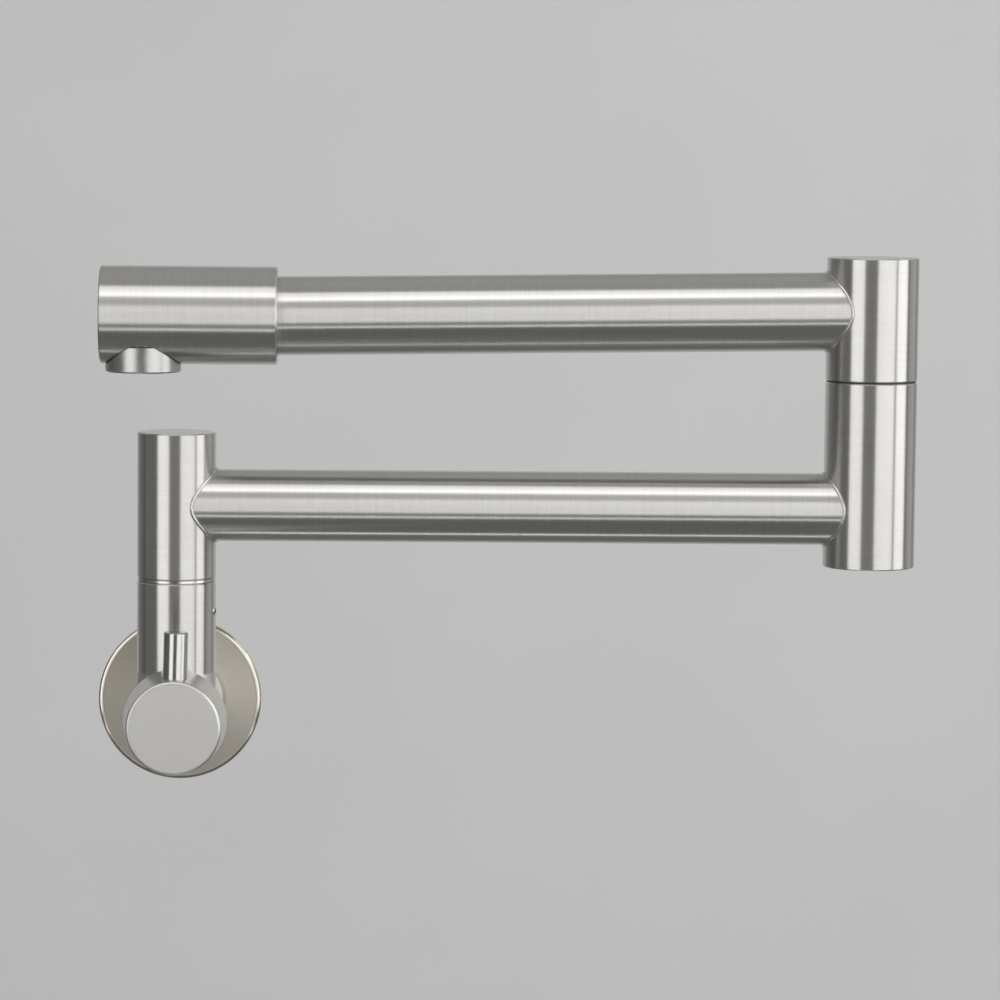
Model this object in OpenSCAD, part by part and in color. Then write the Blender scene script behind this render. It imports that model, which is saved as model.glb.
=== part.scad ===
// Wall tap with a double-jointed folding spout, in brushed stainless steel.
// The origin is the centre of the inlet on the wall plane: +Z is up, +X runs
// along the folded arms and -Y points away from the wall.

/* [Wall flange] */
// Outside diameter of the flange
flange_d = 59; // [54:0.5:70]
// Height of the flange's raised seat above the wall
flange_h = 5.6; // [5.4:0.1:8]
// Height of the flange's outer edge above the wall
flange_edge_h = 4.6; // [3.8:0.1:5.4]
// Radial width of the flange's rounded edge
flange_edge_w = 2; // [1.4:0.1:2.6]
// How far the flange's rounded edge falls
flange_edge_drop = 0.9; // [0.6:0.1:1.2]
// Sheet thickness of the flange
flange_t = 1; // [0.8:0.1:1.2]
// Width of the flange's flat seat beyond the barrel
flange_seat_margin = 1.2; // [0.6:0.1:3]
// Thickness of the rubber ring that grips the neck behind the flange
flange_seal_t = 2; // [1.5:0.1:2.4]
// Radial width of that rubber ring
flange_seal_w = 2.4; // [1.6:0.1:3.4]

/* [Inlet] */
// Outside diameter of the inlet thread, G 1/2
thread_d = 20.96; // [19:0.01:22]
// Length of the inlet thread beyond the wall plane
thread_len = 15; // [10:0.5:22]
// Length of the inlet thread in front of the wall plane
thread_lead = 1; // [0.5:0.1:1.4]
// Chamfer at the inlet's end
thread_chamfer = 1.2; // [0.6:0.1:1.5]
// Depth of the relief groove behind the thread
relief_depth = 1.1; // [0.6:0.1:1.4]
// Width of the relief groove behind the thread
relief_w = 1.6; // [1.2:0.1:2]
// Diameter of the plain neck under the flange
neck_d = 21.2; // [20.6:0.1:22.4]
// Diameter of the water way in the inlet
inlet_bore_d = 11; // [9:0.5:12.5]
// Diameter of the strainer's pocket at the inlet's end
strainer_d = 15; // [13.5:0.1:15.6]
// Depth of the strainer
strainer_h = 3; // [2:0.1:5]
// Wall of the strainer's rim
strainer_wall = 1.4; // [1:0.1:1.8]
// Thickness of the strainer's plate
strainer_plate_t = 0.6; // [0.4:0.1:1]
// Diameter of one hole in the strainer's plate
strainer_hole_d = 1; // [0.6:0.1:1.1]

/* [Valve body] */
// Distance of the riser's axis from the wall
riser_out = 45; // [43:0.5:52]
// Diameter of the riser and of the base sleeve above it
riser_d = 27.8; // [26.8:0.1:30]
// Height of the riser's top above the inlet's axis
riser_top = 47.8; // [46:0.1:56]
// Diameter of the barrel that the knob sits in front of
barrel_d = 31; // [30:0.1:33]
// How far the barrel's front stands past the riser's front
barrel_nose = 0.6; // [0.55:0.05:1.5]
// Chamfer of the barrel's and posts' visible edges
edge = 0.35; // [0.2:0.05:0.5]
// Diameter of the cartridge chamber in the barrel
chamber_d = 21; // [20.4:0.1:22]
// Distance of the cartridge's seat from the wall
seat_out = 27; // [25:0.5:27.5]

/* [Cartridge] */
// Thickness of the rubber seal between the seat and the fixed disc
seat_seal_t = 2; // [1.6:0.1:2.4]
// Diameter of the ceramic discs
disc_d = 15.6; // [14.8:0.1:15.8]
// Thickness of each ceramic disc
disc_t = 3; // [2.4:0.1:3.2]
// Radius of the two sector ports in each disc
disc_port_r = 5.2; // [4:0.1:5.4]
// Width of the bars between the two ports
disc_bar_w = 3; // [2.4:0.1:4.4]
// Wall of the cartridge's skirt round the discs
skirt_wall = 0.8; // [0.7:0.05:1]
// Thickness of the spindle's driving flange
driver_t = 3; // [2.4:0.1:3.2]
// Length of the cartridge's thread in the barrel
cartridge_thread_len = 11; // [9:0.1:12]
// Diameter of the water windows in the cartridge's skirt
window_d = 4.4; // [3:0.1:4.8]
// Thickness of the cartridge's hexagon
hexagon_t = 2.4; // [1.8:0.1:2.8]
// Width of the cartridge's hexagon across its corners
hexagon_d = 24.6; // [24:0.1:25.4]
// Diameter of the cartridge's neck in front of the hexagon
cartridge_neck_d = 13; // [12:0.1:15]
// Length of the cartridge's neck
cartridge_neck_len = 3; // [2:0.1:3.2]
// Diameter of the spindle
spindle_d = 8; // [7:0.1:9]
// Thickness of the spindle's spring clip
clip_t = 0.8; // [0.6:0.05:1]
// Outside diameter of the spindle's spring clip
clip_d = 11.6; // [11:0.1:12.6]

/* [Knob] */
// Diameter of the knob's front face, before its edge is rounded
knob_front_d = 32.9; // [31:0.1:36]
// Diameter of the knob's back rim
knob_back_d = 36.5; // [34:0.1:40]
// Turn of the shut knob from upright, as photographed, in degrees
knob_rest = 1.3; // [0:0.1:5]
// Length of the knob
knob_len = 20.4; // [19.6:0.1:25]
// Rounding of the knob's front edge
knob_round = 1.1; // [0.6:0.1:2]
// Gap between the barrel's front and the knob's back
knob_gap = 0.5; // [0.4:0.05:1]
// Diameter of the hollow in the knob's back
knob_hollow_d = 28; // [27.2:0.1:29]
// Depth of the hollow in the knob's back
knob_hollow_depth = 8.4; // [8.2:0.1:9]
// Length of the spindle held in the knob
spindle_hold = 7; // [5.5:0.1:7.2]
// Distance of the lever's axis behind the knob's front face
lever_back = 7.6; // [6.8:0.1:8.4]
// Diameter of the lever pin
lever_d = 8.4; // [7:0.1:9.2]
// Height of the lever pin's top above the knob's front edge
lever_rise = 16.5; // [10:0.1:30]
// Depth of the lever pin's seat below the knob's front edge
lever_sink = 1.7; // [1.2:0.1:2.6]
// Diameter of the lever pin's threaded stud
lever_stud_d = 5; // [4:0.1:6]
// Length of the lever pin's threaded stud
lever_stud_len = 8; // [6:0.1:8.6]
// Depth of the flat on the spindle under the knob's grub screw
spindle_flat = 0.8; // [0.5:0.1:1.2]
// Diameter of the knob's grub screw
knob_screw_d = 4; // [3:0.1:4.6]
// Length of the knob's grub screw
knob_screw_len = 10; // [7:0.1:11]

/* [Arms] */
// Angle of the folded arms out from the wall
arm_swing = 0.9; // [0:0.1:12]
// Distance between the base swivel's and the elbow's axes
arm_reach = 245.1; // [200:0.1:320]
// Fall of the upper tube from the elbow to the spout, in degrees
upper_fall = 0.9; // [0:0.1:1.5]
// Outside diameter of the lower tube
lower_tube_d = 25.4; // [22:0.1:26.2]
// Outside diameter of the upper tube
upper_tube_d = 27.8; // [24:0.1:29]
// Wall of both tubes
tube_wall = 1.2; // [0.8:0.1:1.8]
// Height of the lower tube's axis above the base sleeve's foot
lower_tube_rise = 25.5; // [25:0.1:34]
// Height of the base sleeve's top above the lower tube's axis
base_sleeve_rise = 25.8; // [18:0.1:34]
// Diameter of the holes that lead the water from post to tube
water_hole_d = 17; // [12:0.5:18]

/* [Elbow] */
// Diameter of the elbow post
elbow_d = 32.5; // [31:0.1:36]
// Depth of the elbow's foot below the lower tube's axis
elbow_drop = 20.3; // [17:0.1:28]
// Height of the elbow's seam above the lower tube's axis
elbow_seam_rise = 45.3; // [40:0.1:60]
// Height of the upper tube's axis above the elbow's seam, at the elbow
upper_tube_rise = 24.3; // [23.6:0.1:34]
// Height of the elbow's top above the upper tube's axis
elbow_top_rise = 18.9; // [17.4:0.1:28]
// Thickness of the plugs that close the posts' ends
plug_t = 2.6; // [2:0.1:3]
// Wall of the posts round their water chambers
post_wall = 2.9; // [2.4:0.1:3.6]

/* [Swivels] */
// Diameter of the base spigot's journal in the riser
base_journal_d = 18; // [16:0.1:18.6]
// Diameter of the elbow spigot's journal in the elbow
elbow_journal_d = 20; // [17:0.1:21]
// Length of each spigot's journal
journal_len = 24.2; // [22.8:0.1:25]
// Diameter added by the thread above each journal
spigot_thread_step = 3; // [2:0.1:3.4]
// Length of each spigot's thread in the sleeve above
spigot_thread_len = 12; // [8:0.1:13]
// Wall of each spigot below its retaining groove
spigot_wall = 1.6; // [1.2:0.1:2]
// Thickness of the base swivel's steel ring
base_ring_t = 1.4; // [1:0.1:2]
// How far the base ring's rim stands back from the sleeve
base_ring_inset = 0.2; // [0.1:0.05:0.6]
// Thickness of the elbow's slide washer
elbow_washer_t = 0.6; // [0.5:0.1:1.2]
// How far the elbow washer's rim stands back from the post
elbow_washer_inset = 0.5; // [0.4:0.1:1.5]
// Section of the O-rings
o_ring_w = 1.5; // [1.2:0.1:1.8]
// Extra width of an O-ring's groove
o_groove_play = 0.3; // [0.2:0.05:0.6]
// Distance of the first O-ring below the spigot's shoulder
o_ring_first = 16.2; // [15.7:0.1:16.8]
// Distance between the two O-rings
o_ring_pitch = 4; // [3.4:0.1:4.6]

/* [Retaining screws] */
// Diameter of the swivels' grub screws
screw_d = 3; // [2.5:0.1:4]
// Distance of the grub screws below the seams
screw_drop = 11.8; // [10.5:0.1:12.4]
// Angle of the riser's grub screw forward of the arm's side
riser_screw_turn = 15; // [0:1:40]
// How far the grub screws' heads stand out of the posts
screw_proud = 0.3; // [0.1:0.1:0.8]
// Chamfer of the grub screws' heads
screw_edge = 0.4; // [0.2:0.1:0.6]
// Diameter of the grub screws' points
screw_point_d = 2; // [1.6:0.1:2.2]
// Depth of the spigots' retaining grooves
screw_groove_depth = 1.5; // [1.2:0.1:1.8]
// Clearance of the screws' points in their grooves
screw_point_gap = 0.3; // [0.2:0.05:0.4]
// Hexagon socket of the grub screws, across corners
socket_d = 1.7; // [1.4:0.1:2]
// Depth of the grub screws' sockets
socket_depth = 1.4; // [1:0.1:1.6]

/* [Spout head] */
// Diameter of the spout head
head_d = 34.6; // [33:0.1:38]
// Length of the spout head
head_len = 62.1; // [58:0.1:76]
// Distance from the elbow's axis to the spout head's closed end
head_reach = 272; // [240:0.1:340]
// Rise of the spout head's axis against the upper tube's, in degrees
head_lift = 0.9; // [0:0.1:1.5]
// Chamfer of the spout head's edges
head_edge = 0.5; // [0.3:0.1:1]
// Depth of the tube's socket in the spout head
head_socket = 14; // [8:0.5:16]
// Diameter of the water way past the tube's end
head_bore_d = 20; // [14:0.5:23]
// Distance of the aerator's axis from the spout head's closed end
aerator_back = 15; // [14.8:0.1:19]
// Diameter of the duct from the water way to the aerator
head_duct_d = 11; // [8:0.1:12]
// Height of that duct above the spout head's axis
head_duct_rise = 3; // [2:0.1:5]

/* [Aerator] */
// Outside diameter of the aerator's collar
aerator_d = 26.7; // [24.6:0.1:27.4]
// Gap round the collar in the spout head
aerator_gap = 0.75; // [0.2:0.05:0.8]
// How far the aerator stands out below the spout head
aerator_drop = 2.7; // [2:0.1:8]
// Height of the aerator's collar
collar_h = 9.4; // [9:0.1:11]
// Free height above the collar in the spout head
collar_clear = 1.2; // [0.6:0.1:1.6]
// Chamfer of the collar's edges
collar_edge = 0.5; // [0.2:0.1:1]
// Outside diameter of the aerator's thread, M24
aerator_thread_d = 24; // [22:0.1:24.4]
// Length of the aerator's thread above its collar
aerator_thread_len = 5.4; // [4.6:0.1:6]
// Wall of the aerator's collar at its mouth
collar_wall = 2; // [1.6:0.1:2.6]
// How far the jet insert sits above the aerator's mouth
insert_inset = 0.8; // [0.4:0.1:2]
// Width of the ledge that the jet insert rests on
insert_ledge_w = 1; // [0.6:0.1:1.4]
// Height of the jet insert
insert_h = 11; // [9:0.1:11.6]
// Thickness of the jet insert's plates
insert_plate_t = 1.6; // [1.2:0.1:2]
// Diameter of one hole in the jet insert
jet_d = 1.6; // [1:0.1:1.9]
// Thickness of the aerator's screen
screen_t = 0.5; // [0.3:0.1:0.8]
// Diameter of one hole in the aerator's screen
screen_hole_d = 1.1; // [0.7:0.1:1.2]
// Thickness of the aerator's rubber washer
aerator_washer_t = 1.5; // [1:0.1:2]
// Radial width of the aerator's rubber washer
aerator_washer_w = 2.4; // [2:0.1:3]

/* [Fits] */
// Radial clearance of a turning journal in its bore
run_gap = 0.05; // [0.02:0.01:0.1]
// Clearance between pieces that seat on each other
seat_gap = 0.02; // [0.01:0.01:0.04]
// Axial clearance between faces that slide on each other
slide_gap = 0.05; // [0.03:0.01:0.1]
// Radial clearance of pieces that turn inside another
free_gap = 0.3; // [0.25:0.05:0.4]

/* [Hidden] */
$fn = 96;
cut = 1;
steel = [0.72, 0.71, 0.69];
bright_steel = [0.86, 0.86, 0.85];
brass = [0.78, 0.64, 0.36];
rubber = [0.10, 0.10, 0.10];
white_plastic = [0.90, 0.90, 0.88];
black_plastic = [0.16, 0.16, 0.16];
ceramic = [0.95, 0.94, 0.91];

// Distances along the valve's axis, measured out from the wall
barrel_front = riser_out + riser_d / 2 + barrel_nose;
fixed_disc_out = seat_out + seat_seal_t;
moving_disc_out = fixed_disc_out + disc_t + slide_gap;
driver_out = moving_disc_out + disc_t;
driver_end = driver_out + driver_t;
pocket_end = driver_end + slide_gap;
skirt_out = seat_out + seat_seal_t / 2;
cartridge_thread_out = barrel_front - cartridge_thread_len;
neck_end = barrel_front + hexagon_t + cartridge_neck_len;
clip_out = neck_end + slide_gap;
knob_back_out = barrel_front + knob_gap;
knob_front_out = knob_back_out + knob_len;
hollow_end = knob_back_out + knob_hollow_depth;
spindle_end = hollow_end + spindle_hold;
lever_out = knob_front_out - lever_back;
lever_seat = knob_front_d / 2 - lever_sink;
lever_top = knob_front_d / 2 + lever_rise;
knob_screw_out = hollow_end + spindle_hold / 2;
cartridge_ring_out = barrel_front - o_ring_w;
spindle_ring_out = barrel_front - cartridge_thread_len / 2;

// Radii of the cartridge's pieces
pocket_r = disc_d / 2 + free_gap;
skirt_r = pocket_r + skirt_wall;
clip_groove_r = spindle_d / 2 - clip_t;

// Heights of the arms' pieces above the inlet's axis
base_ring_top = riser_top + base_ring_t;
base_foot = base_ring_top + slide_gap;
lower_axis_z = base_foot + lower_tube_rise;
base_sleeve_top = lower_axis_z + base_sleeve_rise;
elbow_foot = lower_axis_z - elbow_drop;
elbow_seam = lower_axis_z + elbow_seam_rise;
upper_foot = elbow_seam + elbow_washer_t + slide_gap;
upper_axis_z = upper_foot + upper_tube_rise;
elbow_top = upper_axis_z + elbow_top_rise;

// Insides of the posts
base_thread_d = base_journal_d + spigot_thread_step;
elbow_thread_d = elbow_journal_d + spigot_thread_step;
base_chamber_d = riser_d - 2 * post_wall;
elbow_chamber_d = elbow_d - 2 * post_wall;
elbow_chamber_top = lower_axis_z + lower_tube_d / 2;

// Heights of the spout head's pieces above the upper tube's axis
head_foot = -head_d / 2;
aerator_mouth = head_foot - aerator_drop;
collar_top = aerator_mouth + collar_h;
aerator_thread_top = collar_top + aerator_thread_len;
aerator_hole_top = aerator_thread_top + aerator_washer_t;
insert_foot = aerator_mouth + insert_inset;
insert_top = insert_foot + insert_h;
insert_d = aerator_thread_d - 2 * collar_wall;

// Local frames: valve_axis has +Z out from the wall and +Y up
module valve_axis() rotate([90, 0, 0]) children();
module knob_frame() rotate([0, knob_rest, 0]) children();
module riser_frame() translate([0, -riser_out, 0]) children();
module lower_arm_frame() riser_frame() rotate([0, 0, -arm_swing]) children();
module elbow_frame() lower_arm_frame() translate([arm_reach, 0, 0]) children();
module upper_tube_frame()
    elbow_frame() translate([0, 0, upper_axis_z]) rotate([0, -upper_fall, 0]) children();
module head_frame()
    upper_tube_frame() translate([head_len - head_reach, 0, 0])
        rotate([0, head_lift, 0]) translate([-head_len, 0, 0]) children();
module aerator_frame() head_frame() translate([aerator_back, 0, 0]) children();
module along_x() rotate([0, 90, 0]) children();

// Round bar with an optional chamfer at either end
module rod(d, h, low = 0, high = 0) {
    foot = low > 0 ? [[d / 2 - low, 0], [d / 2, low]] : [[d / 2, 0]];
    top = high > 0 ? [[d / 2, h - high], [d / 2 - high, h]] : [[d / 2, h]];
    rotate_extrude() polygon(concat([[0, 0]], foot, top, [[0, h]]));
}

module ring(outer_d, inner_d, h)
    difference() {
        cylinder(d = outer_d, h = h);
        translate([0, 0, -cut]) cylinder(d = inner_d, h = h + 2 * cut);
    }

// O-ring lying in a groove whose outer diameter is journal_d
module o_ring(journal_d)
    rotate_extrude()
        translate([journal_d / 2 - o_ring_w / 2 + seat_gap, 0])
            circle(d = o_ring_w);

// Groove of a given depth and width round a journal, centred on z = 0
module groove(journal_d, depth, w)
    translate([0, 0, -w / 2])
        difference() {
            cylinder(d = journal_d + 2 * cut, h = w);
            translate([0, 0, -cut]) cylinder(d = journal_d - 2 * depth, h = w + 2 * cut);
        }

module o_groove(journal_d) groove(journal_d, o_ring_w, o_ring_w + o_groove_play);

// Disc full of holes, laid out in rings of six, twelve and so on
module sieve(d, t, hole_d) {
    pitch = 1.8 * hole_d;
    rings = floor((d / 2 - hole_d) / pitch);
    difference() {
        cylinder(d = d, h = t);
        for (k = [0 : rings], i = [0 : max(6 * k - 1, 0)])
            rotate([0, 0, k == 0 ? 0 : 60 * i / k])
                translate([k * pitch, 0, -cut])
                    cylinder(d = hole_d, h = t + 2 * cut, $fn = 24);
    }
}

// Grub screw on +X: its head is at radius surface_r, its point in a groove round a journal
module grub_screw(surface_r, bore_r, journal_d) {
    head_r = surface_r + screw_proud;
    shank_r = bore_r + screw_point_gap;
    point_r = journal_d / 2 - screw_groove_depth + screw_point_gap;
    difference() {
        union() {
            translate([shank_r, 0, 0]) along_x() rod(screw_d, head_r - shank_r, 0, screw_edge);
            translate([point_r, 0, 0]) along_x() cylinder(d = screw_point_d, h = shank_r - point_r + cut);
        }
        translate([head_r - socket_depth, 0, 0])
            along_x() cylinder(d = socket_d, h = socket_depth + cut, $fn = 6);
    }
}

module grub_hole(surface_r)
    along_x() cylinder(d = screw_d + 2 * seat_gap, h = surface_r + cut);

// Two quarter-round ports on opposite sides of a disc
module disc_ports(t)
    intersection() {
        cylinder(r = disc_port_r, h = t);
        for (turn = [0, 180])
            rotate([0, 0, turn]) translate([disc_bar_w / 2, disc_bar_w / 2, 0])
                cube([disc_port_r, disc_port_r, t]);
    }

module ceramic_disc()
    difference() {
        cylinder(d = disc_d, h = disc_t);
        translate([0, 0, -cut]) disc_ports(disc_t + 2 * cut);
    }

// Spigot with its shoulder at z = 0: journal below, thread above
module spigot(journal_d) {
    bore_d = journal_d - 2 * (screw_groove_depth + spigot_wall);
    difference() {
        union() {
            translate([0, 0, -journal_len]) rod(journal_d, journal_len + cut, edge);
            cylinder(d = journal_d + spigot_thread_step, h = spigot_thread_len);
        }
        translate([0, 0, -journal_len - cut])
            cylinder(d = bore_d, h = journal_len + spigot_thread_len + 2 * cut);
        translate([0, 0, -screw_drop])
            groove(journal_d, screw_groove_depth, screw_point_d + 2 * screw_point_gap);
        for (i = [0, 1])
            translate([0, 0, -o_ring_first - i * o_ring_pitch]) o_groove(journal_d);
    }
}

module spigot_o_rings(journal_d)
    for (i = [0, 1])
        translate([0, 0, -o_ring_first - i * o_ring_pitch]) o_ring(journal_d);

// Pieces fixed to the wall

module wall_flange() {
    rim_r = flange_d / 2;
    wall_r = rim_r - flange_t;
    seat_r = barrel_d / 2 + flange_seat_margin;
    hole_r = neck_d / 2 + free_gap;
    seat_low = flange_h - flange_t;
    edge = [for (a = [90:-15:0])
        [rim_r - flange_edge_w * (1 - sin(a)), flange_edge_h - flange_edge_drop * (1 - cos(a))]];
    back = [[hole_r, seat_low], [seat_r, seat_low], [wall_r, flange_edge_h - flange_t]];
    color(steel) valve_axis() rotate_extrude()
        polygon(concat(back, [[wall_r, 0], [rim_r, 0]], edge, [[seat_r, flange_h], [hole_r, flange_h]]));
}

module flange_seal_ring()
    color(rubber) valve_axis()
        translate([0, 0, flange_h - flange_t - flange_seal_t])
            ring(neck_d + 2 * (seat_gap + flange_seal_w), neck_d + 2 * seat_gap, flange_seal_t);

module valve_body()
    color(steel) difference() {
        union() {
            valve_axis() {
                translate([0, 0, flange_h]) rod(barrel_d, barrel_front - flange_h, 0, edge);
                translate([0, 0, thread_lead + relief_w])
                    cylinder(d = neck_d, h = flange_h - thread_lead - relief_w + cut);
                cylinder(d = thread_d - 2 * relief_depth, h = flange_h);
                translate([0, 0, -thread_len]) rod(thread_d, thread_len + thread_lead, thread_chamfer);
            }
            riser_frame() rod(riser_d, riser_top, 0, edge);
        }
        valve_axis() {
            translate([0, 0, -thread_len - cut])
                cylinder(d = inlet_bore_d, h = thread_len + seat_out + 2 * cut);
            translate([0, 0, -thread_len - cut])
                cylinder(d = strainer_d + 2 * seat_gap, h = strainer_h + cut);
            translate([0, 0, seat_out]) cylinder(d = chamber_d, h = barrel_front - seat_out + cut);
        }
        riser_frame() {
            cylinder(d = base_journal_d + 2 * run_gap, h = riser_top + cut);
            translate([0, 0, base_foot - screw_drop])
                rotate([0, 0, -riser_screw_turn]) grub_hole(riser_d / 2);
        }
    }

module inlet_strainer()
    color(bright_steel) valve_axis() translate([0, 0, -thread_len]) {
        ring(strainer_d, strainer_d - 2 * strainer_wall, strainer_h);
        translate([0, 0, strainer_h - strainer_plate_t])
            sieve(strainer_d - strainer_wall, strainer_plate_t, strainer_hole_d);
    }

module cartridge_housing()
    color(brass) valve_axis() difference() {
        union() {
            translate([0, 0, skirt_out])
                cylinder(r = skirt_r, h = cartridge_thread_out - skirt_out + cut);
            translate([0, 0, cartridge_thread_out])
                cylinder(d = chamber_d - 2 * seat_gap, h = cartridge_thread_len);
            translate([0, 0, barrel_front]) cylinder(d = hexagon_d, h = hexagon_t, $fn = 6);
            translate([0, 0, barrel_front - cut])
                cylinder(d = cartridge_neck_d, h = neck_end - barrel_front + cut);
        }
        translate([0, 0, skirt_out - cut]) cylinder(r = pocket_r, h = pocket_end - skirt_out + cut);
        translate([0, 0, skirt_out])
            cylinder(d = spindle_d + 2 * run_gap, h = neck_end - skirt_out + cut);
        translate([0, 0, cartridge_ring_out]) o_groove(chamber_d - 2 * seat_gap);
        for (turn = [0 : 90 : 270])
            translate([0, 0, moving_disc_out + disc_t / 2]) rotate([0, 0, turn])
                along_x() cylinder(d = window_d, h = skirt_r + cut);
    }

module cartridge_seat_seal()
    color(rubber) valve_axis() translate([0, 0, seat_out]) ring(disc_d, 2 * disc_port_r, seat_seal_t);

module cartridge_o_ring()
    color(rubber) valve_axis() translate([0, 0, cartridge_ring_out]) o_ring(chamber_d - 3 * seat_gap);

module fixed_ceramic_disc()
    color(ceramic) valve_axis() translate([0, 0, fixed_disc_out]) ceramic_disc();

module base_ring()
    color(bright_steel) riser_frame() translate([0, 0, riser_top])
        difference() {
            rod(riser_d - 2 * base_ring_inset, base_ring_t, edge, edge);
            translate([0, 0, -cut])
                cylinder(d = base_journal_d + 2 * free_gap, h = base_ring_t + 2 * cut);
        }

module riser_grub_screw()
    color(bright_steel) riser_frame() translate([0, 0, base_foot - screw_drop])
        rotate([0, 0, -riser_screw_turn])
            grub_screw(riser_d / 2, base_journal_d / 2 + run_gap, base_journal_d);

// Pieces that turn with the knob

module moving_ceramic_disc()
    color(ceramic) knob_frame() valve_axis()
        translate([0, 0, moving_disc_out]) rotate([0, 0, 90]) ceramic_disc();

module cartridge_spindle()
    color(brass) knob_frame() valve_axis() difference() {
        union() {
            translate([0, 0, driver_out]) cylinder(d = disc_d, h = driver_t);
            translate([0, 0, driver_out]) rod(spindle_d, spindle_end - driver_out, 0, edge);
        }
        translate([0, 0, spindle_ring_out]) o_groove(spindle_d);
        translate([0, 0, clip_out + clip_t / 2]) groove(spindle_d, clip_t, clip_t + 2 * seat_gap);
        translate([-spindle_d / 2, -spindle_d - spindle_d / 2 + spindle_flat, hollow_end])
            cube([spindle_d, spindle_d, spindle_hold + cut]);
    }

module spindle_o_ring()
    color(rubber) knob_frame() valve_axis() translate([0, 0, spindle_ring_out]) o_ring(spindle_d);

module spindle_clip() {
    inner_d = 2 * (clip_groove_r + seat_gap);
    color(bright_steel) knob_frame() valve_axis() translate([0, 0, clip_out + seat_gap])
        difference() {
            ring(clip_d, inner_d, clip_t - seat_gap);
            translate([0, clip_d / 2, 0]) cube([inner_d / 2, clip_d, 4 * clip_t], center = true);
        }
}

module knob() {
    taper = atan((knob_back_d - knob_front_d) / 2 / knob_len);
    round_r = knob_front_d / 2 + knob_round * (tan(taper) - 1 / cos(taper));
    round_z = knob_len - knob_round;
    color(steel) knob_frame() difference() {
        valve_axis() translate([0, 0, knob_back_out]) rotate_extrude() {
            polygon([[0, 0], [knob_back_d / 2 - edge, 0], [knob_back_d / 2, edge],
                     [round_r + knob_round * cos(taper), round_z + knob_round * sin(taper)],
                     [round_r, knob_len], [0, knob_len]]);
            translate([round_r, round_z]) circle(r = knob_round);
        }
        valve_axis() {
            translate([0, 0, knob_back_out - cut])
                cylinder(d = knob_hollow_d, h = knob_hollow_depth + cut);
            translate([0, 0, hollow_end - cut])
                cylinder(d = spindle_d + 2 * seat_gap, h = spindle_hold + 2 * cut);
        }
        translate([0, -lever_out, lever_seat]) cylinder(d = lever_d + 2 * seat_gap, h = knob_back_d);
        translate([0, -lever_out, lever_seat - lever_stud_len - seat_gap])
            cylinder(d = lever_stud_d + 2 * seat_gap, h = lever_stud_len + cut);
        translate([0, -knob_screw_out, -knob_back_d])
            cylinder(d = knob_screw_d + 2 * seat_gap, h = knob_back_d);
    }
}

module lever_pin()
    color(bright_steel) knob_frame() translate([0, -lever_out, lever_seat]) {
        rod(lever_d, lever_top - lever_seat, 0, edge);
        translate([0, 0, -lever_stud_len]) cylinder(d = lever_stud_d, h = lever_stud_len + cut);
    }

module knob_grub_screw() {
    tip_z = -spindle_d / 2 + spindle_flat - seat_gap;
    color(bright_steel) knob_frame() translate([0, -knob_screw_out, tip_z]) rotate([180, 0, 0])
        difference() {
            cylinder(d = knob_screw_d, h = knob_screw_len);
            translate([0, 0, knob_screw_len - socket_depth])
                cylinder(d = knob_screw_d / 2, h = socket_depth + cut, $fn = 6);
        }
}

// Pieces that turn with the lower arm

module base_spigot()
    color(brass) lower_arm_frame() translate([0, 0, base_foot]) spigot(base_journal_d);

module base_spigot_o_rings()
    color(rubber) lower_arm_frame() translate([0, 0, base_foot]) spigot_o_rings(base_journal_d);

module base_sleeve()
    color(steel) lower_arm_frame() difference() {
        translate([0, 0, base_foot]) rod(riser_d, base_sleeve_top - base_foot, edge, edge);
        translate([0, 0, base_foot - cut])
            cylinder(d = base_thread_d + 2 * seat_gap, h = spigot_thread_len + 2 * cut);
        translate([0, 0, base_foot + spigot_thread_len])
            cylinder(d = base_chamber_d, h = base_sleeve_top - base_foot);
        translate([0, 0, lower_axis_z]) along_x() cylinder(d = water_hole_d, h = riser_d);
    }

module base_sleeve_plug()
    color(steel) lower_arm_frame() translate([0, 0, base_sleeve_top - plug_t])
        cylinder(d = base_chamber_d - 2 * seat_gap, h = plug_t);

module lower_tube()
    color(steel) lower_arm_frame() difference() {
        translate([0, 0, lower_axis_z]) along_x() cylinder(d = lower_tube_d, h = arm_reach);
        translate([-cut, 0, lower_axis_z])
            along_x() cylinder(d = lower_tube_d - 2 * tube_wall, h = arm_reach + 2 * cut);
        cylinder(d = riser_d + 2 * seat_gap, h = elbow_top);
        translate([arm_reach, 0, 0]) cylinder(d = elbow_d + 2 * seat_gap, h = elbow_top);
    }

module elbow_lower_sleeve()
    color(steel) elbow_frame() difference() {
        translate([0, 0, elbow_foot]) rod(elbow_d, elbow_seam - elbow_foot, edge, edge);
        translate([0, 0, elbow_foot - cut])
            cylinder(d = elbow_chamber_d, h = elbow_chamber_top - elbow_foot + cut);
        translate([0, 0, elbow_foot])
            cylinder(d = elbow_journal_d + 2 * run_gap, h = elbow_seam - elbow_foot + cut);
        translate([-elbow_d, 0, lower_axis_z]) along_x() cylinder(d = water_hole_d, h = elbow_d);
        translate([0, 0, upper_foot - screw_drop]) rotate([0, 0, 90]) grub_hole(elbow_d / 2);
    }

module elbow_foot_plug()
    color(steel) elbow_frame() translate([0, 0, elbow_foot])
        cylinder(d = elbow_chamber_d - 2 * seat_gap, h = plug_t);

module elbow_grub_screw()
    color(bright_steel) elbow_frame() translate([0, 0, upper_foot - screw_drop])
        rotate([0, 0, 90]) grub_screw(elbow_d / 2, elbow_journal_d / 2 + run_gap, elbow_journal_d);

module elbow_slide_washer()
    color(black_plastic) elbow_frame() translate([0, 0, elbow_seam])
        ring(elbow_d - 2 * elbow_washer_inset, elbow_journal_d + 2 * free_gap, elbow_washer_t);

// Pieces that turn with the upper arm

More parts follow.
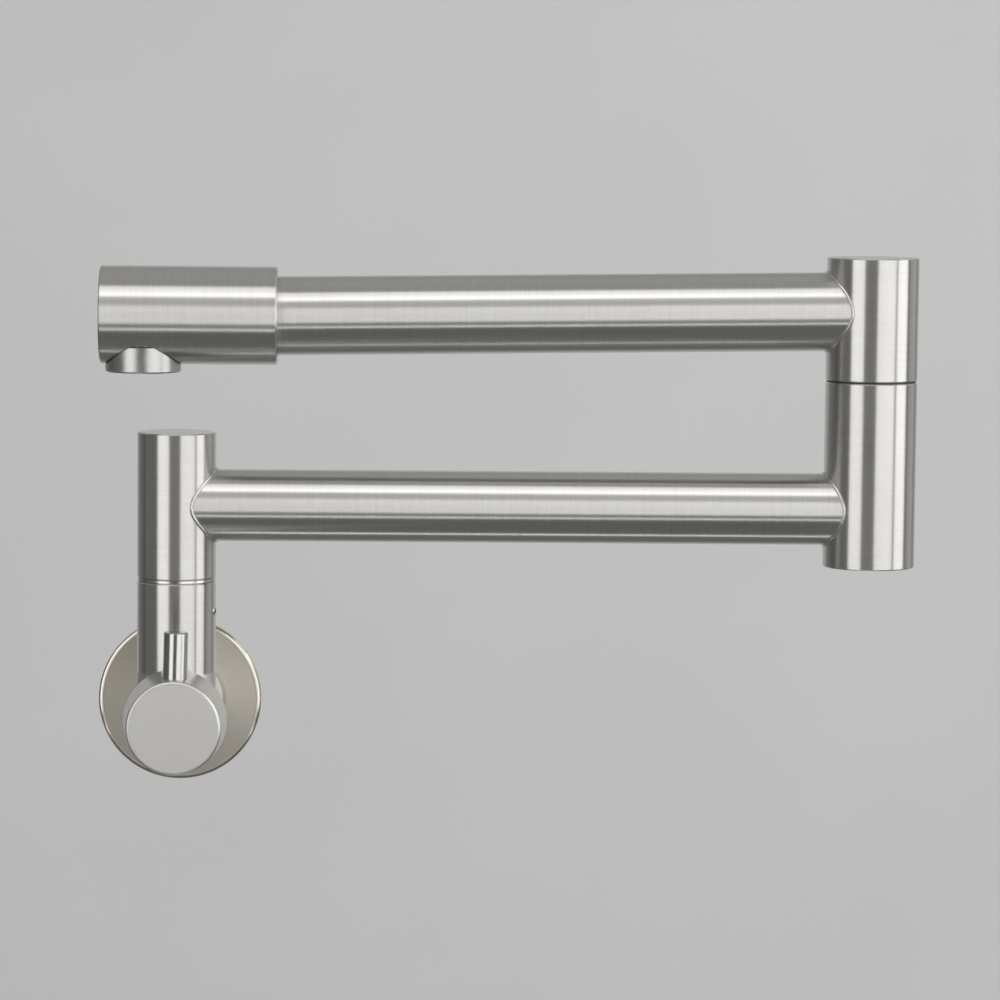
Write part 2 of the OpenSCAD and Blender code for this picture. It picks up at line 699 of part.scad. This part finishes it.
module elbow_spigot()
    color(brass) elbow_frame() translate([0, 0, upper_foot]) spigot(elbow_journal_d);

module elbow_spigot_o_rings()
    color(rubber) elbow_frame() translate([0, 0, upper_foot]) spigot_o_rings(elbow_journal_d);

module elbow_upper_sleeve()
    color(steel) difference() {
        elbow_frame() difference() {
            translate([0, 0, upper_foot]) rod(elbow_d, elbow_top - upper_foot, edge, edge);
            translate([0, 0, upper_foot - cut])
                cylinder(d = elbow_thread_d + 2 * seat_gap, h = spigot_thread_len + 2 * cut);
            translate([0, 0, upper_foot + spigot_thread_len])
                cylinder(d = elbow_chamber_d, h = elbow_top - upper_foot);
        }
        upper_tube_frame() translate([-elbow_d, 0, 0]) along_x() cylinder(d = water_hole_d, h = elbow_d);
    }

module elbow_top_plug()
    color(steel) elbow_frame() translate([0, 0, elbow_top - plug_t])
        cylinder(d = elbow_chamber_d - 2 * seat_gap, h = plug_t);

module upper_tube() {
    tube_end = head_reach - head_len + head_socket;
    color(steel) difference() {
        upper_tube_frame() translate([-tube_end, 0, 0]) along_x() cylinder(d = upper_tube_d, h = tube_end);
        upper_tube_frame() translate([-tube_end - cut, 0, 0])
            along_x() cylinder(d = upper_tube_d - 2 * tube_wall, h = tube_end + 2 * cut);
        elbow_frame() cylinder(d = elbow_d + 2 * seat_gap, h = elbow_top);
    }
}

module spout_head() {
    bore_end = aerator_back + aerator_d / 2 + aerator_gap + head_edge;
    socket_over = head_d * sin(head_lift) + cut;
    color(steel) difference() {
        head_frame() along_x() difference() {
            rod(head_d, head_len, head_edge, head_edge);
            translate([0, 0, bore_end]) cylinder(d = head_bore_d, h = head_len - bore_end);
        }
        upper_tube_frame() translate([head_len - head_socket - head_reach, 0, 0])
            along_x() cylinder(d = upper_tube_d + 2 * seat_gap, h = head_socket + socket_over);
        aerator_frame() {
            translate([0, 0, head_duct_rise])
                along_x() cylinder(d = head_duct_d, h = bore_end - aerator_back + cut);
            translate([0, 0, aerator_mouth])
                cylinder(d = aerator_d + 2 * aerator_gap, h = collar_h + collar_clear);
            translate([0, 0, aerator_mouth])
                cylinder(d = aerator_thread_d + 2 * seat_gap, h = aerator_hole_top - aerator_mouth);
            translate([0, 0, aerator_mouth])
                cylinder(d = aerator_thread_d - 2 * aerator_washer_w, h = head_duct_rise - aerator_mouth);
        }
    }
}

module aerator_collar()
    color(bright_steel) aerator_frame() difference() {
        union() {
            translate([0, 0, aerator_mouth]) rod(aerator_d, collar_h, collar_edge, collar_edge);
            translate([0, 0, collar_top - cut])
                cylinder(d = aerator_thread_d, h = aerator_thread_len + cut);
        }
        translate([0, 0, insert_foot])
            cylinder(d = insert_d + 2 * seat_gap, h = collar_h + aerator_thread_len);
        translate([0, 0, aerator_mouth - cut]) cylinder(d = insert_d - 2 * insert_ledge_w, h = collar_h);
    }

module aerator_jet_insert()
    color(white_plastic) aerator_frame() translate([0, 0, insert_foot]) {
        ring(insert_d, insert_d - 2 * insert_ledge_w, insert_h);
        for (z = [0, insert_h - insert_plate_t])
            translate([0, 0, z]) sieve(insert_d - insert_ledge_w, insert_plate_t, jet_d);
    }

module aerator_screen()
    color(bright_steel) aerator_frame() translate([0, 0, insert_top])
        sieve(insert_d, screen_t, screen_hole_d);

module aerator_washer()
    color(rubber) aerator_frame() translate([0, 0, aerator_thread_top])
        ring(aerator_thread_d, aerator_thread_d - 2 * aerator_washer_w, aerator_washer_t);

wall_flange();
flange_seal_ring();
valve_body();
inlet_strainer();
cartridge_housing();
cartridge_seat_seal();
cartridge_o_ring();
fixed_ceramic_disc();
base_ring();
riser_grub_screw();
moving_ceramic_disc();
cartridge_spindle();
spindle_o_ring();
spindle_clip();
knob();
lever_pin();
knob_grub_screw();
base_spigot();
base_spigot_o_rings();
base_sleeve();
base_sleeve_plug();
lower_tube();
elbow_lower_sleeve();
elbow_foot_plug();
elbow_grub_screw();
elbow_slide_washer();
elbow_spigot();
elbow_spigot_o_rings();
elbow_upper_sleeve();
elbow_top_plug();
upper_tube();
spout_head();
aerator_collar();
aerator_jet_insert();
aerator_screen();
aerator_washer();
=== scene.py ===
import math

import bpy
from mathutils import Matrix, Vector


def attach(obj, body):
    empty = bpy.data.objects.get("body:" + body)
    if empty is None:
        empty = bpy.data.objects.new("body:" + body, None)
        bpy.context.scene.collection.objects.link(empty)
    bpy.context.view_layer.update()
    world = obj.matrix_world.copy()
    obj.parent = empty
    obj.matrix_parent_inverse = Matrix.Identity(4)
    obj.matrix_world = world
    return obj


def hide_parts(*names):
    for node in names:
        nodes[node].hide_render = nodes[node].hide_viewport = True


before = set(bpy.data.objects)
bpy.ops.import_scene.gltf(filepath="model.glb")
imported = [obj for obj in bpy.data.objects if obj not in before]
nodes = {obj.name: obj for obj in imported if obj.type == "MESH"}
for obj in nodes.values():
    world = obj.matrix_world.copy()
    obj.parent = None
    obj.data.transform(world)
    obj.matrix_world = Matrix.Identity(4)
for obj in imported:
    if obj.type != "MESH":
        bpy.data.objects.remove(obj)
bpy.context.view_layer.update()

# Sizes repeated from the part's source, in metres and radians
ARM_SWING = math.radians(0.9)
UPPER_FALL = math.radians(0.9)
RISER_OUT = 0.045
ARM_REACH = 0.2451
BASE_R = 0.0139
ELBOW_R = 0.01625
LOWER_TUBE_R = 0.0127
UPPER_TUBE_R = 0.0139
LOWER_AXIS_Z = 0.07475
UPPER_AXIS_Z = 0.145
BARREL_R = 0.0155
THREAD_R = 0.01048
THREAD_FRONT = -0.001
THREAD_END = 0.015
THREAD_CHAMFER = 0.0012

# Directions of the arms, and the axes of the two posts
UP = Vector((0, 0, 1))
ARM_DIR = Vector((math.cos(ARM_SWING), -math.sin(ARM_SWING), 0))
ARM_SIDE = UP.cross(ARM_DIR)
UPPER_DIR = math.cos(UPPER_FALL) * ARM_DIR + math.sin(UPPER_FALL) * UP
RISER_AXIS = Vector((0, -RISER_OUT, 0))
ELBOW_AXIS = RISER_AXIS + ARM_REACH * ARM_DIR


# Camera

IMAGE_PX = 1000
SENSOR_MM = 36
CAMERA_SEES_TO = 50


def set_camera(place, yaw, pitch, roll, focal_px):
    """Camera that looks along +Y, turned right by yaw, down by pitch and about its own axis by roll."""
    forward = Vector((
        math.sin(yaw) * math.cos(pitch),
        math.cos(yaw) * math.cos(pitch),
        -math.sin(pitch),
    ))
    level = Vector((math.cos(yaw), -math.sin(yaw), 0))
    down = forward.cross(level)
    right = math.cos(roll) * level + math.sin(roll) * down
    up = math.sin(roll) * level - math.cos(roll) * down
    data = bpy.data.cameras.new("photo_camera")
    data.sensor_fit = "HORIZONTAL"
    data.sensor_width = SENSOR_MM
    data.lens = focal_px * SENSOR_MM / IMAGE_PX
    data.clip_end = CAMERA_SEES_TO
    camera = bpy.data.objects.new("photo_camera", data)
    bpy.context.scene.collection.objects.link(camera)
    axes = Matrix((right, up, -forward)).transposed()
    camera.matrix_world = Matrix.Translation(place) @ axes.to_4x4()
    bpy.context.scene.camera = camera


set_camera(
    place=Vector((0.04824, -1.51743, 0.2145)),
    yaw=math.radians(2.5644),
    pitch=math.radians(5.3298),
    roll=math.radians(-0.5484),
    focal_px=4179.0,
)


# Helpers for shader nodes

# Sockets of the Mix node, whose names repeat
COLOUR_A = 6
COLOUR_B = 7
COLOUR_OUT = 2
VECTOR_A = 4
VECTOR_B = 5
VECTOR_OUT = 1


def new_material(name):
    material = bpy.data.materials.new(name)
    material.use_nodes = True
    material.node_tree.nodes.clear()
    return material, material.node_tree


def add(tree, kind, inputs=None, **settings):
    """New node with these settings; an input is a value, or a socket to link."""
    made = tree.nodes.new(kind)
    for key, value in settings.items():
        setattr(made, key, value)
    for key, value in (inputs or {}).items():
        if isinstance(value, bpy.types.NodeSocket):
            tree.links.new(value, made.inputs[key])
        else:
            made.inputs[key].default_value = value
    return made


def place_on_piece(tree):
    return add(tree, "ShaderNodeTexCoord").outputs["Object"]


def share(tree, vector, axis):
    """One of a vector's parts, X, Y or Z."""
    return add(tree, "ShaderNodeSeparateXYZ", {0: vector}).outputs[axis]


def maths(tree, operation, a, b):
    return add(tree, "ShaderNodeMath", {0: a, 1: b}, operation=operation).outputs[0]


def noise(tree, vector, scale, detail, rough=0.5):
    return add(tree, "ShaderNodeTexNoise", {
        "Vector": vector, "Scale": scale, "Detail": detail, "Roughness": rough,
    }).outputs["Fac"]


def spread(tree, value, low, high, start=0.3, end=0.7, curve="LINEAR"):
    """Value carried from start..end to low..high; start and end suit noise."""
    return add(tree, "ShaderNodeMapRange", {
        "Value": value, "From Min": start, "From Max": end, "To Min": low, "To Max": high,
    }, interpolation_type=curve).outputs["Result"]


def around(tint, swing):
    """The tint a little darker and a little lighter."""
    return [[c * k for c in tint] for k in (1 - swing, 1 + swing)]


def two_tone(tree, fac, tints):
    a, b = tints
    return add(tree, "ShaderNodeMix", {
        "Factor": fac, COLOUR_A: (*a, 1), COLOUR_B: (*b, 1),
    }, data_type="RGBA").outputs[COLOUR_OUT]


def bump(tree, height, strength):
    return add(tree, "ShaderNodeBump", {
        "Height": height, "Strength": strength, "Distance": 0.0001,
    }).outputs["Normal"]


def to_surface(tree, shader):
    add(tree, "ShaderNodeOutputMaterial", {"Surface": shader.outputs[0]})


def shade(tree, **inputs):
    """Principled shader on the surface; base_color stands for its socket Base Color, and so on."""
    sockets = {key.replace("_", " ").title(): value for key, value in inputs.items()}
    to_surface(tree, add(tree, "ShaderNodeBsdfPrincipled", sockets))


# Brush lines: each brush gives the lines' coordinates and the tangent, which is the piece's axis

# Cells of noise to the metre
ALONG_STROKE = 60
ACROSS_STROKE = 1800
ACROSS_RINGS = 1500.0
ALONG_RINGS = 40.0

# Keeps the tangent off the normal on a piece's end faces
TANGENT_LEAN = 0.02


def stretched(tree, position, turn, cells):
    return add(tree, "ShaderNodeMapping", {
        "Vector": position, "Rotation": turn, "Scale": [1 / c for c in cells],
    }, vector_type="TEXTURE").outputs["Vector"]


def world_vector(tree, vector):
    return add(tree, "ShaderNodeVectorTransform", {
        "Vector": vector,
    }, vector_type="VECTOR", convert_from="OBJECT", convert_to="WORLD").outputs["Vector"]


def post_brush(tree, position):
    lines = stretched(tree, position, (0, 0, 0), (ALONG_STROKE, ALONG_STROKE, ACROSS_STROKE))
    return lines, world_vector(tree, (TANGENT_LEAN, 0, 1))


def arm_brush(tree, position):
    lines = stretched(tree, position, (0, 0, -ARM_SWING), (ACROSS_STROKE, ALONG_STROKE, ALONG_STROKE))
    return lines, world_vector(tree, (ARM_DIR.x, ARM_DIR.y, TANGENT_LEAN))


def knob_brush(tree, position):
    lines = stretched(tree, position, (0, 0, 0), (ALONG_STROKE, ACROSS_STROKE, ALONG_STROKE))
    return lines, world_vector(tree, (TANGENT_LEAN, 1, 0))


def flange_brush(tree, position):
    """Fine rings, as left by turning."""
    flat = add(tree, "ShaderNodeVectorMath", {
        0: position, 1: (1, 0, 1),
    }, operation="MULTIPLY").outputs["Vector"]
    radius = add(tree, "ShaderNodeVectorMath", {0: flat}, operation="LENGTH").outputs["Value"]
    rings = maths(tree, "MULTIPLY", radius, ACROSS_RINGS)
    sectors = maths(tree, "MULTIPLY", share(tree, position, "X"), ALONG_RINGS)
    lines = add(tree, "ShaderNodeCombineXYZ", {0: rings, 1: sectors}).outputs["Vector"]
    return lines, world_vector(tree, flat)


def valve_brush(tree, position):
    """The riser is brushed round +Z, and the barrel below it round +Y."""
    upright = maths(tree, "GREATER_THAN", share(tree, position, "Z"), BARREL_R)
    chosen = []
    for lying, standing in zip(knob_brush(tree, position), post_brush(tree, position)):
        chosen.append(add(tree, "ShaderNodeMix", {
            "Factor": upright, VECTOR_A: lying, VECTOR_B: standing,
        }, data_type="VECTOR").outputs[VECTOR_OUT])
    return chosen


# Finishes: each gives the roughness over a piece

SATIN_CLOUDS = 45.0
SATIN_DRIFT = 0.02


def satin(level):
    """Roughness that drifts a little round its level."""
    def finish(tree, position):
        clouds = noise(tree, position, SATIN_CLOUDS, 2.0)
        return spread(tree, clouds, level - SATIN_DRIFT, level + SATIN_DRIFT, 0.1, 0.9)
    return finish


def turned(face, side, start, end):
    """One roughness on the face of a piece along Y, another on its side, told apart by the normal's Y."""
    def finish(tree, position):
        normal = add(tree, "ShaderNodeNewGeometry").outputs["Normal"]
        level = spread(tree, share(tree, normal, "Y"), face, side, start, end)
        drift = satin(0)
        return maths(tree, "ADD", level, drift(tree, position))
    return finish


# Materials

def brushed(name, brush, tint, finish, stretch, grain=0.04, relief=0.12):
    """Satin steel: fine lines round the piece, and highlights drawn out along its axis."""
    material, tree = new_material(name)
    position = place_on_piece(tree)
    lines, tangent = brush(tree, position)
    fine = noise(tree, lines, 1.0, 3.0, 0.6)
    shade(
        tree,
        base_color=two_tone(tree, spread(tree, fine, 0, 1), around(tint, grain)),
        metallic=1.0,
        roughness=finish(tree, position),
        anisotropic=stretch,
        tangent=tangent,
        normal=bump(tree, fine, relief),
    )
    return material


def polished(name, tint, roughness):
    """Bright metal with a faint haze."""
    material, tree = new_material(name)
    haze = noise(tree, place_on_piece(tree), 300.0, 3.0)
    shade(
        tree,
        base_color=two_tone(tree, spread(tree, haze, 0, 1), around(tint, 0.03)),
        metallic=1.0,
        roughness=spread(tree, haze, roughness - 0.02, roughness + 0.03),
    )
    return material


def moulded(name, tint, roughness, pores_per_metre):
    """Rubber, plastic or ceramic with soft clouds and fine pores."""
    material, tree = new_material(name)
    position = place_on_piece(tree)
    clouds = noise(tree, position, 120.0, 3.0)
    pores = noise(tree, position, pores_per_metre, 4.0)
    shade(
        tree,
        base_color=two_tone(tree, spread(tree, clouds, 0, 1), around(tint, 0.1)),
        roughness=spread(tree, pores, roughness - 0.05, roughness + 0.05),
        normal=bump(tree, pores, 0.1),
    )
    return material


STEEL = (0.60, 0.59, 0.565)
ARM_STEEL = (0.65, 0.64, 0.615)
KNOB_STEEL = (0.70, 0.69, 0.66)
FLANGE_STEEL = (0.60, 0.565, 0.495)
knob_finish = turned(face=0.45, side=0.27, start=-0.97, end=-0.6)
flange_finish = turned(face=0.33, side=0.14, start=-0.988, end=-0.95)

post_steel = brushed("brushed_post", post_brush, STEEL, satin(0.29), stretch=0.93)
valve_steel = brushed("brushed_valve", valve_brush, STEEL, satin(0.29), stretch=0.93)
arm_steel = brushed("brushed_arm", arm_brush, ARM_STEEL, satin(0.33), stretch=1.0)
knob_steel = brushed("brushed_knob", knob_brush, KNOB_STEEL, knob_finish, stretch=0.5, grain=0.02)
flange_steel = brushed(
    "brushed_flange", flange_brush, FLANGE_STEEL, flange_finish, stretch=0.0, grain=0.02, relief=0.02,
)
weld_steel = polished("weld_steel", (0.62, 0.61, 0.59), 0.22)
polished_steel = polished("polished_steel", (0.57, 0.565, 0.55), 0.2)
lever_steel = polished("lever_steel", (0.51, 0.505, 0.49), 0.2)
collar_steel = polished("collar_steel", (0.49, 0.485, 0.47), 0.31)
brass = polished("brass", (0.72, 0.52, 0.25), 0.28)
rubber = moulded("rubber", (0.025, 0.025, 0.026), 0.65, 2500.0)
ceramic = moulded("ceramic", (0.75, 0.74, 0.70), 0.22, 1500.0)
black_plastic = moulded("black_plastic", (0.03, 0.03, 0.03), 0.45, 2200.0)
white_plastic = moulded("white_plastic", (0.72, 0.72, 0.70), 0.40, 2200.0)

BY_SLOT = {
    "brushed_steel": post_steel,
    "polished_steel": polished_steel,
    "brass": brass,
    "rubber": rubber,
    "ceramic": ceramic,
    "black_plastic": black_plastic,
    "white_plastic": white_plastic,
}
BY_NODE = {
    "lower_tube": arm_steel,
    "upper_tube": arm_steel,
    "spout_head": arm_steel,
    "knob": knob_steel,
    "wall_flange": flange_steel,
    "valve_body": valve_steel,
    "lever_pin": lever_steel,
    "aerator_collar": collar_steel,
}
for name, node in nodes.items():
    slot = node.data.materials[0].name.split(".")[0]
    material = BY_NODE.get(name, BY_SLOT[slot])
    for i in range(len(node.data.materials)):
        node.data.materials[i] = material


def add_object(name, mesh, material):
    mesh.materials.append(material)
    made = bpy.data.objects.new(name, mesh)
    bpy.context.scene.collection.objects.link(made)
    return made


# Weld beads where the tubes meet the posts

BASE_BEAD_R = 0.00055
ELBOW_BEAD_R = 0.0005
BEAD_STEPS = 120
BEAD_SIDES = 10

# Share of the bead's radius by which its middle stands off the seam
BEAD_LIFT = 0.25


def swept(name, rings, material):
    """Closed tube through equal rings of points, as a smooth mesh."""
    count = len(rings)
    sides = len(rings[0])
    faces = []
    for i in range(count):
        for j in range(sides):
            a = i * sides
            b = (i + 1) % count * sides
            faces.append((a + j, a + (j + 1) % sides, b + (j + 1) % sides, b + j))
    mesh = bpy.data.meshes.new(name)
    mesh.from_pydata([p for ring in rings for p in ring], [], faces)
    mesh.shade_smooth()
    return add_object(name, mesh, material)


def bead_ripple(i):
    """Uneven radius along the bead, as a share of its mean."""
    return 1 + 0.05 * math.sin(2.3 * i) + 0.04 * math.sin(0.7 * i)


def weld_bead(name, body, post_axis, post_r, axis_z, tube_dir, tube_r, way, bead_r):
    """Bead along the saddle of a tube on a post; way is +1 or -1 along tube_dir."""
    fall = tube_dir.z
    lift = ARM_SIDE.cross(-tube_dir).normalized()
    middle = Vector((post_axis.x, post_axis.y, axis_z))
    path = []
    outs = []
    for i in range(BEAD_STEPS):
        turn = math.tau * i / BEAD_STEPS
        w = tube_r * math.cos(turn)
        h = tube_r * math.sin(turn)
        reach = (way * math.sqrt(post_r ** 2 - w ** 2) + h * fall) / math.sqrt(1 - fall ** 2)
        point = middle + reach * tube_dir + w * ARM_SIDE + h * lift
        from_post = (point - middle).to_2d().to_3d().normalized()
        from_tube = (w * ARM_SIDE + h * lift).normalized()
        path.append(point)
        outs.append((from_post + from_tube).normalized())
    rings = []
    for i, (point, out) in enumerate(zip(path, outs)):
        along = (path[(i + 1) % BEAD_STEPS] - path[i - 1]).normalized()
        out = (out - out.dot(along) * along).normalized()
        across = along.cross(out)
        radius = bead_r * bead_ripple(i)
        rings.append([
            point + BEAD_LIFT * bead_r * out
            + radius * (math.cos(a) * out + math.sin(a) * across)
            for a in (math.tau * j / BEAD_SIDES for j in range(BEAD_SIDES))
        ])
    bead = swept(name, rings, weld_steel)
    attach(bead, body)


weld_bead(
    "base_weld", "lower_arm", RISER_AXIS, BASE_R, LOWER_AXIS_Z,
    ARM_DIR, LOWER_TUBE_R, way=1, bead_r=BASE_BEAD_R,
)
weld_bead(
    "elbow_lower_weld", "lower_arm", ELBOW_AXIS, ELBOW_R, LOWER_AXIS_Z,
    ARM_DIR, LOWER_TUBE_R, way=-1, bead_r=ELBOW_BEAD_R,
)
weld_bead(
    "elbow_upper_weld", "upper_arm", ELBOW_AXIS, ELBOW_R, UPPER_AXIS_Z,
    UPPER_DIR, UPPER_TUBE_R, way=-1, bead_r=ELBOW_BEAD_R,
)


# Helical thread on the inlet: pipe thread G 1/2, 14 turns to the inch

THREAD_PITCH = 0.0254 / 14
THREAD_DEPTH = 0.00116
ROWS_PER_TURN = 14
SHARP_ANGLE = math.radians(50)

# Distance within which points count as one place
TOUCH = 1e-5


def turn_of(point):
    return math.atan2(point.z, point.x)


def off_axis(point):
    return math.hypot(point.x, point.z)


def thread_radius(turn, y):
    """Radius of the inlet at an angle round it and a distance along Y."""
    phase = (y / THREAD_PITCH + turn / math.tau) % 1
    flank = min(max(1.6 * abs(2 * phase - 1) - 0.3, 0), 1)
    run_out = min((y - THREAD_FRONT) / THREAD_PITCH, 1)
    chamfer = max(y - THREAD_END + THREAD_CHAMFER, 0)
    return min(THREAD_R - THREAD_DEPTH * flank * run_out, THREAD_R - chamfer)


def on_plain_thread(corners, normal):
    """Whether a face lies on the plain cylinder, or its chamfer, that the thread takes the place of."""
    end_r = THREAD_R - THREAD_CHAMFER - TOUCH
    outside = all(p.y > THREAD_FRONT - TOUCH and off_axis(p) > end_r for p in corners)
    return outside and abs(normal.y) < 0.9


def stitched(a, b):
    """Triangles that join two rings of unlike counts, both in order of their angle."""
    faces = []
    i = 0
    j = 0
    while i < len(a) or j < len(b):
        start_a = a[i % len(a)]
        start_b = b[j % len(b)]
        if j == len(b) or (i < len(a) and (i + 1) * len(b) <= (j + 1) * len(a)):
            i += 1
            faces.append((start_a, start_b, a[i % len(a)]))
        else:
            j += 1
            faces.append((start_a, start_b, b[j % len(b)]))
    return faces


def threaded_body(name, node):
    """Copy of the valve body whose plain inlet has a thread cut into it."""
    source = node.data
    points = []
    faces = []
    normals = []
    places = {}

    def spot(point):
        key = tuple(round(c * 1e6) for c in point)
        if key not in places:
            places[key] = len(points)
            points.append(point.copy())
        return places[key]

    def rim(y, r):
        found = [i for i, p in enumerate(points) if abs(p.y - y) < TOUCH and abs(off_axis(p) - r) < TOUCH]
        return sorted(found, key=lambda i: turn_of(points[i]))

    for polygon in source.polygons:
        corners = [source.vertices[i].co for i in polygon.vertices]
        if not on_plain_thread(corners, polygon.normal):
            faces.append([spot(p) for p in corners])
            normals.extend(source.corner_normals[i].vector for i in polygon.loop_indices)

    front = rim(THREAD_FRONT, THREAD_R)
    back = rim(THREAD_END, THREAD_R - THREAD_CHAMFER)
    turns = [turn_of(points[i]) for i in front]
    rows = round(ROWS_PER_TURN * (THREAD_END - THREAD_FRONT) / THREAD_PITCH)
    last = front
    for k in range(1, rows):
        y = THREAD_FRONT + k * (THREAD_END - THREAD_FRONT) / rows
        radii = [thread_radius(turn, y) for turn in turns]
        row = [spot(Vector((r * math.cos(t), y, r * math.sin(t)))) for r, t in zip(radii, turns)]
        faces.extend(zip(last, row, row[1:] + row[:1], last[1:] + last[:1]))
        last = row
    faces.extend(stitched(last, back))
    mesh = bpy.data.meshes.new(name)
    mesh.from_pydata(points, [], faces)
    mesh.shade_smooth()
    mesh.set_sharp_from_angle(angle=SHARP_ANGLE)
    # A zero normal leaves the new faces to their own shading
    normals.extend([Vector()] * (len(mesh.loops) - len(normals)))
    mesh.normals_split_custom_set(normals)
    made = add_object(name, mesh, source.materials[0])
    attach(made, "valve")
    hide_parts("valve_body")


threaded_body("threaded_valve_body", nodes["valve_body"])


# Stage: a backdrop well behind the part, with a painted pool of light round the part, and a floor far
# below it

BACKDROP_Y = 1.2
BACKDROP_X = (-6, 6.3)
BACKDROP_Z = (-2, 0.75)
# Painted pool of light on the backdrop: the pale tint round this point, fading to the darker tint between
# these distances
PAINTED_LIGHT_MIDDLE = (0.17, BACKDROP_Y, -0.04)
PAINTED_LIGHT_FADE = (0.45, 1.4)
BACKDROP_LIT_AND_SHADED_TINTS = ((0.82, 0.82, 0.815), (0.40, 0.40, 0.396))
FLOOR_Z = -6
FLOOR_REACH = 60
FLOOR_TINT = (0.48, 0.48, 0.475)
PLASTER_CLOUDS = 6.0


def stage_plane(name, corners, material):
    mesh = bpy.data.meshes.new(name)
    mesh.from_pydata(corners, [], [(0, 1, 2, 3)])
    add_object(name, mesh, material)


def plaster(name, tint):
    material, tree = new_material(name)
    clouds = noise(tree, place_on_piece(tree), PLASTER_CLOUDS, 4.0)
    colour = two_tone(tree, spread(tree, clouds, 0, 1), around(tint, 0.03))
    to_surface(tree, add(tree, "ShaderNodeBsdfDiffuse", {"Color": colour}))
    return material


def backdrop_painted_light(name, middle, light_fade, tints):
    """Painted pool of light: pale round a point and darker away from it, and clear from behind."""
    material, tree = new_material(name)
    position = place_on_piece(tree)
    away = add(tree, "ShaderNodeVectorMath", {
        0: position, 1: middle,
    }, operation="DISTANCE").outputs["Value"]
    clouds = spread(tree, noise(tree, position, PLASTER_CLOUDS, 4.0), -0.03, 0.03)
    # Painted pool of light: pale near the point, darker further from it
    painted_light_pool = spread(tree, away, 0.04, 0.96, light_fade[0], light_fade[1], curve="SMOOTHSTEP")
    colour = two_tone(tree, maths(tree, "ADD", painted_light_pool, clouds), tints)
    face = add(tree, "ShaderNodeBsdfDiffuse", {"Color": colour})
    clear = add(tree, "ShaderNodeBsdfTransparent")
    behind = add(tree, "ShaderNodeNewGeometry").outputs["Backfacing"]
    to_surface(tree, add(tree, "ShaderNodeMixShader", {
        0: behind, 1: face.outputs[0], 2: clear.outputs[0],
    }))
    return material


stage_plane(
    "backdrop",
    [
        (BACKDROP_X[0], BACKDROP_Y, BACKDROP_Z[0]),
        (BACKDROP_X[1], BACKDROP_Y, BACKDROP_Z[0]),
        (BACKDROP_X[1], BACKDROP_Y, BACKDROP_Z[1]),
        (BACKDROP_X[0], BACKDROP_Y, BACKDROP_Z[1]),
    ],
    backdrop_painted_light("backdrop_painted_light", PAINTED_LIGHT_MIDDLE, PAINTED_LIGHT_FADE, BACKDROP_LIT_AND_SHADED_TINTS),
)
stage_plane(
    "floor",
    [
        (-FLOOR_REACH, -FLOOR_REACH, FLOOR_Z),
        (FLOOR_REACH, -FLOOR_REACH, FLOOR_Z),
        (FLOOR_REACH, FLOOR_REACH, FLOOR_Z),
        (-FLOOR_REACH, FLOOR_REACH, FLOOR_Z),
    ],
    plaster("floor_plaster", FLOOR_TINT),
)


# Light

LIT_POINT = Vector((0.12, -RISER_OUT, 0.09))
LAMP_DISTANCE = 2.0

# Lamps high up or low down get narrower with the circle they stand on, down to this share
NARROWEST = 0.3


def softbox(name, azimuth, elevation, radiance, distance=LAMP_DISTANCE):
    """Rectangle of light that faces the part and fills these angles, given as (from, to) in degrees.

    Azimuth 0 is straight out from the wall and positive to the right; elevation is up from the horizon.
    """
    az, el = [math.radians(sum(pair) / 2) for pair in (azimuth, elevation)]
    wide, tall = [
        2 * distance * math.tan(math.radians(abs(b - a) / 2)) for a, b in (azimuth, elevation)
    ]
    wide *= max(math.cos(el), NARROWEST)
    away = Vector((math.sin(az) * math.cos(el), -math.cos(az) * math.cos(el), math.sin(el)))
    data = bpy.data.lights.new(name, "AREA")
    data.shape = "RECTANGLE"
    data.size = wide
    data.size_y = tall
    data.energy = radiance * math.pi * wide * tall
    lamp = bpy.data.objects.new(name, data)
    lamp.location = LIT_POINT + distance * away
    lamp.rotation_euler = away.to_track_quat("Z", "Y").to_euler()
    lamp.visible_camera = False
    bpy.context.scene.collection.objects.link(lamp)


softbox("key_left", (-58, -24), (-16, 23), 1.65)
softbox("key_right", (9, 55), (-16, 23), 1.65)
softbox("mid_fill", (-56, 52), (24, 44), 0.3)
softbox("ledge", (-50, 50), (-33, -29), 1.6)
softbox("edge_right", (59, 91), (-15, 45), 1.8)
softbox("back_right", (98, 140), (-20, 50), 0.35)
softbox("top_strip", (-60, 52), (47, 59), 1.7)
softbox("top_glow", (-65, 57), (59, 74), 1.2)
softbox("fill_below", (-40, 40), (-96, -89), 1.7, distance=1.4)


def light_world(towards, low, high):
    """Soft surroundings, brightest in the direction given and dim on the other side."""
    world = bpy.data.worlds.new("studio")
    world.use_nodes = True
    tree = world.node_tree
    tree.nodes.clear()
    direction = add(tree, "ShaderNodeTexCoord").outputs["Generated"]
    lean = add(tree, "ShaderNodeVectorMath", {
        0: direction, 1: towards,
    }, operation="DOT_PRODUCT").outputs["Value"]
    sky = add(tree, "ShaderNodeBackground", {"Color": spread(tree, lean, low, high, -0.5, 1.0)})
    add(tree, "ShaderNodeOutputWorld", {"Surface": sky.outputs[0]})
    bpy.context.scene.world = world


light_world(towards=(-0.05, 0.3, 0.95), low=0.04, high=0.42)

bpy.context.scene.view_settings.view_transform = "Standard"
